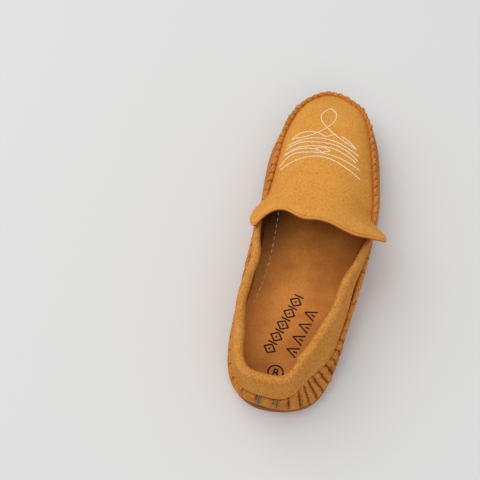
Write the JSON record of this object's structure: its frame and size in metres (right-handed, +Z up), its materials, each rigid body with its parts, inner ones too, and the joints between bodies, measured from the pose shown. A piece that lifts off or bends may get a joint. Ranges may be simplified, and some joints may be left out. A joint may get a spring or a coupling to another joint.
{
  "type": "moccasin",
  "caption": "Soft suede slip-on moccasin for the right foot, with a puckered hand-sewn toe, flared tongue, padded collar and thin rubber sole.",
  "frame": {"origin": "on the ground, at the middle of the shoe's bounding box", "axes": "+Y from heel to toe, +X to the outer side of the foot, +Z up"},
  "size_m": [0.1014, 0.2632, 0.0704],
  "materials": {
    "gum_rubber": "matt, fine grain, shallow cross grooves",
    "wrap_suede": "brushed suede, gathered into puckers",
    "fibre_board": "pressed cellulose fibre board",
    "foam": "open cell latex foam",
    "sock_leather": "smooth fine-grained leather",
    "vamp_suede": "golden brushed suede",
    "quarter_suede": "brushed suede",
    "lining_leather": "thin split leather",
    "seam_thread": "waxed brown twisted thread",
    "tack_thread": "waxed grey-olive thread",
    "white_thread": "white sewing thread",
    "cream_thread": "cream embroidery thread"
  },
  "bodies": {
    "root": {"outsole": "gum_rubber", "wrap": "wrap_suede", "insole_board": "fibre_board", "cushion": "foam", "sock": "sock_leather", "vamp": "vamp_suede", "quarter": "quarter_suede", "collar_padding": "foam", "heel_counter": "fibre_board", "quarter_lining": "lining_leather", "vamp_stitches": "seam_thread", "heel_stitches": "seam_thread", "back_tacks": "tack_thread", "sock_stitches": "white_thread", "embroidery_loop": "cream_thread", "embroidery_wings": "cream_thread", "embroidery_bands": "cream_thread"}
  },
  "joints": []
}
